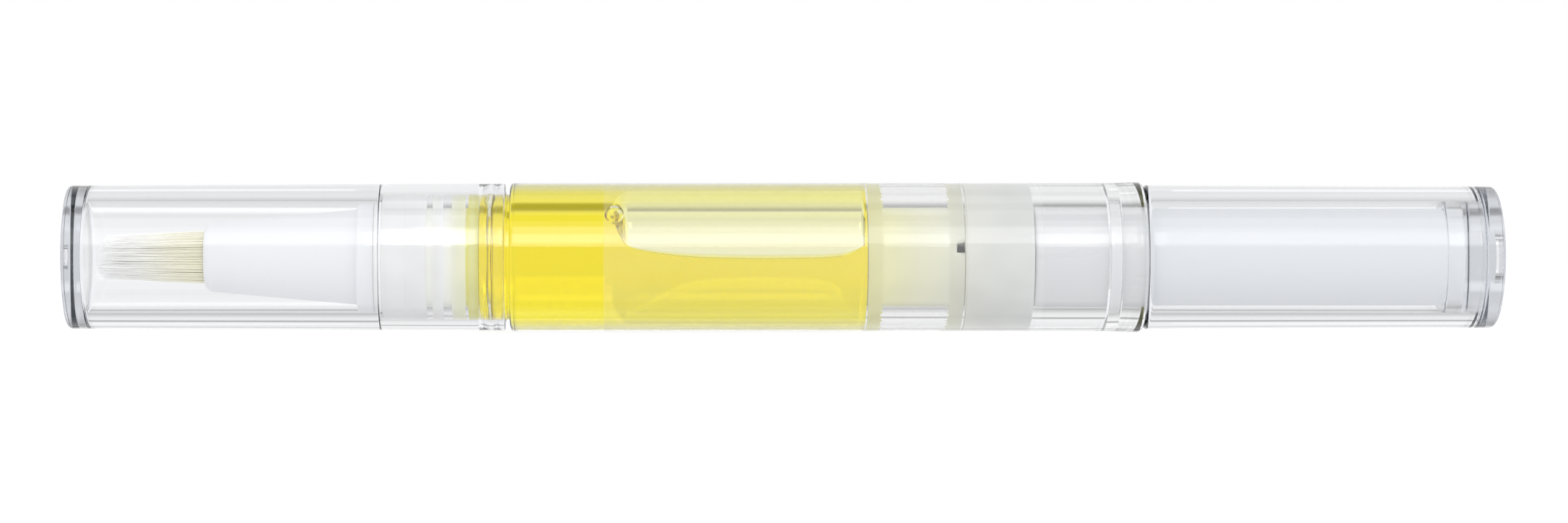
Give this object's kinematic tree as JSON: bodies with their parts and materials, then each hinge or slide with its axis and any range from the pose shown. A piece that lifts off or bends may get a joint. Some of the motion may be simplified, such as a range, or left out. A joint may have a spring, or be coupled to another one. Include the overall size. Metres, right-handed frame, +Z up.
{
  "type": "nail oil pen",
  "caption": "Clear twist pen with a brush tip under a clear cap, an oil-filled barrel with a piston and screw feed, and a ratchet knob at the rear.",
  "frame": {"origin": "centre of the bounding box, at the height of the surface that the pen lies on", "axes": "+X along the pen from the cap towards the knob, +Z up, +Y to the far side; the air pocket in the oil is at +Z"},
  "size_m": [0.1202, 0.0126, 0.0127],
  "materials": {
    "clear_plastic": "gloss",
    "white_plastic": "satin",
    "milky_plastic": "satin",
    "natural_plastic": "satin",
    "bristle_nylon": "satin",
    "oil": "gloss"
  },
  "bodies": {
    "pen_body": {"barrel": "clear_plastic", "nail_oil": "oil", "neck_plug": "milky_plastic", "brush_ferrule": "white_plastic", "feed_tube": "natural_plastic", "bristles": "bristle_nylon", "screw_nut": "milky_plastic"},
    "cap_body": {"cap": "clear_plastic"},
    "knob_body": {"knob_shell": "clear_plastic", "knob_liner": "white_plastic", "knob_end_plug": "clear_plastic", "drive_sleeve": "natural_plastic", "click_ring": "natural_plastic"},
    "rod_body": {"screw_rod": "natural_plastic"},
    "piston_body": {"piston": "milky_plastic"}
  },
  "joints": [
    {"name": "cap_pull", "type": "slide", "parent": "pen_body", "child": "cap_body", "axis": [-1, 0, 0], "range_m": [0, 0.04]},
    {"name": "knob_turn", "type": "hinge", "parent": "pen_body", "child": "knob_body", "pos_m": [0, 0, 0.00633], "axis": [-1, 0, 0], "range_deg": [0, 5760], "deforming": ["click_ring"]},
    {"name": "screw_feed", "type": "slide", "parent": "knob_body", "child": "rod_body", "axis": [-1, 0, 0], "range_m": [0, 0.032]},
    {"name": "piston_feed", "type": "slide", "parent": "pen_body", "child": "piston_body", "axis": [-1, 0, 0], "range_m": [0, 0.032], "deforming": ["nail_oil"]}
  ],
  "couplings": [
    {"joint": "knob_turn", "follows": "piston_feed", "rad_per_m": 3141.6},
    {"joint": "screw_feed", "follows": "piston_feed", "ratio": 1}
  ]
}
